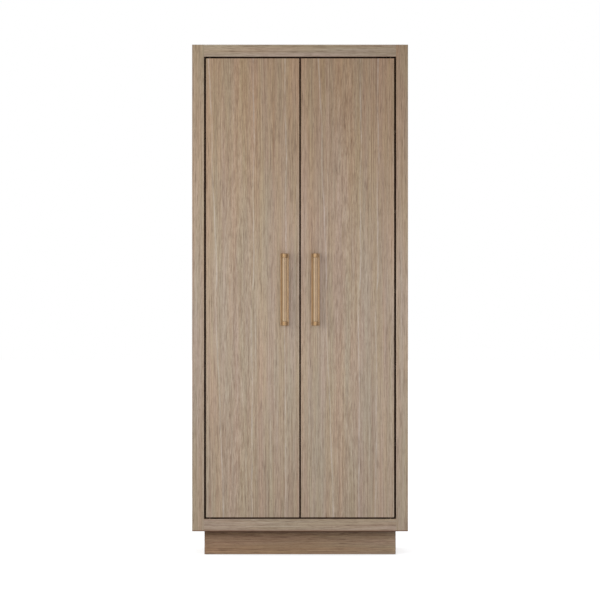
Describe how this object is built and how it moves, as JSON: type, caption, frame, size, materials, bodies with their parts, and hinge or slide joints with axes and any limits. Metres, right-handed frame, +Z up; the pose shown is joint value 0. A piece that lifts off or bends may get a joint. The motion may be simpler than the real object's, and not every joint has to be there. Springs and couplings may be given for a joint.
{
  "type": "tall storage cabinet",
  "caption": "Tall oak storage cabinet with a square face frame, inset slab doors on concealed pivots, brass bar pulls on backplates, shelves and a recessed plinth.",
  "frame": {"origin": "on the floor, under the middle of the bounding box of the whole object, pulls included", "axes": "+Z up, -Y out of the front, where the doors are, +X to the right as seen from the front"},
  "size_m": [0.9144, 0.5605, 2.1644],
  "materials": {
    "oak_veneer": "matt pale oak veneer, straight vertical grain",
    "oak_solid": "matt pale oak, fine grain along each member",
    "oak_plinth": "matt oak, a shade darker than the case, horizontal grain",
    "oak_interior": "matt pale oak veneer",
    "stained_oak": "oak stained dark brown, seen only through the gaps",
    "back_board": "matt oak-faced board",
    "beech": "bare beech",
    "brass": "satin brushed brass",
    "nickel_steel": "satin nickel plate",
    "bronzed_steel": "dark bronze plate",
    "zinc_steel": "zinc plate",
    "nylon": "natural nylon",
    "black_nylon": "black nylon",
    "brown_plastic": "moulded, fine texture",
    "clear_rubber": "soft translucent grey",
    "ferrite": "dull ground ferrite"
  },
  "bodies": {
    "cabinet": {"left_side_panel": "oak_veneer", "right_side_panel": "oak_veneer", "top_panel": "oak_veneer", "bottom_panel": "oak_interior", "fixed_shelf": "oak_interior", "back_panel": "back_board", "back_panel_screws": "zinc_steel", "anchor_rail": "oak_interior", "case_dowels": "beech", "left_stile": "oak_solid", "right_stile": "oak_solid", "top_rail": "oak_solid", "bottom_rail": "oak_solid", "frame_dowels": "beech", "top_door_stop": "stained_oak", "bottom_door_stop": "stained_oak", "door_stop_screws": "zinc_steel", "door_bumpers": "clear_rubber", "magnet_cases": "brown_plastic", "magnets": "ferrite", "magnet_case_screws": "zinc_steel", "shelf_pins": "nickel_steel", "case_pivot_plates": "bronzed_steel", "case_pivot_screws": "bronzed_steel", "pivot_pins": "bronzed_steel", "thrust_washers": "bronzed_steel", "plinth_front": "oak_plinth", "plinth_back": "oak_plinth", "plinth_left": "oak_plinth", "plinth_right": "oak_plinth", "plinth_cross_rail": "beech", "plinth_corner_blocks": "beech", "plinth_screws": "zinc_steel", "floor_glides": "nylon", "loose_shelf_1": "oak_interior", "loose_shelf_2": "oak_interior", "loose_shelf_3": "oak_interior", "loose_shelf_4": "oak_interior"},
    "left_door": {"left_door_panel": "oak_veneer", "left_door_pivot_plates": "bronzed_steel", "left_door_pivot_screws": "bronzed_steel", "left_pivot_bushes": "black_nylon", "left_strike_plate": "nickel_steel", "left_strike_screws": "zinc_steel", "left_pull_backplate": "brass", "left_pull_bar": "brass", "left_pull_posts": "brass", "left_pull_collars": "brass", "left_pull_bolts": "zinc_steel"},
    "right_door": {"right_door_panel": "oak_veneer", "right_door_pivot_plates": "bronzed_steel", "right_door_pivot_screws": "bronzed_steel", "right_pivot_bushes": "black_nylon", "right_strike_plate": "nickel_steel", "right_strike_screws": "zinc_steel", "right_pull_backplate": "brass", "right_pull_bar": "brass", "right_pull_posts": "brass", "right_pull_collars": "brass", "right_pull_bolts": "zinc_steel"}
  },
  "joints": [
    {"name": "left_door_swing", "type": "hinge", "parent": "cabinet", "child": "left_door", "pos_m": [-0.3838, -0.21775, 0.1621], "axis": [0, 0, -1], "range_deg": [0, 110]},
    {"name": "right_door_swing", "type": "hinge", "parent": "cabinet", "child": "right_door", "pos_m": [0.3838, -0.21775, 0.1621], "axis": [0, 0, 1], "range_deg": [0, 110]}
  ]
}
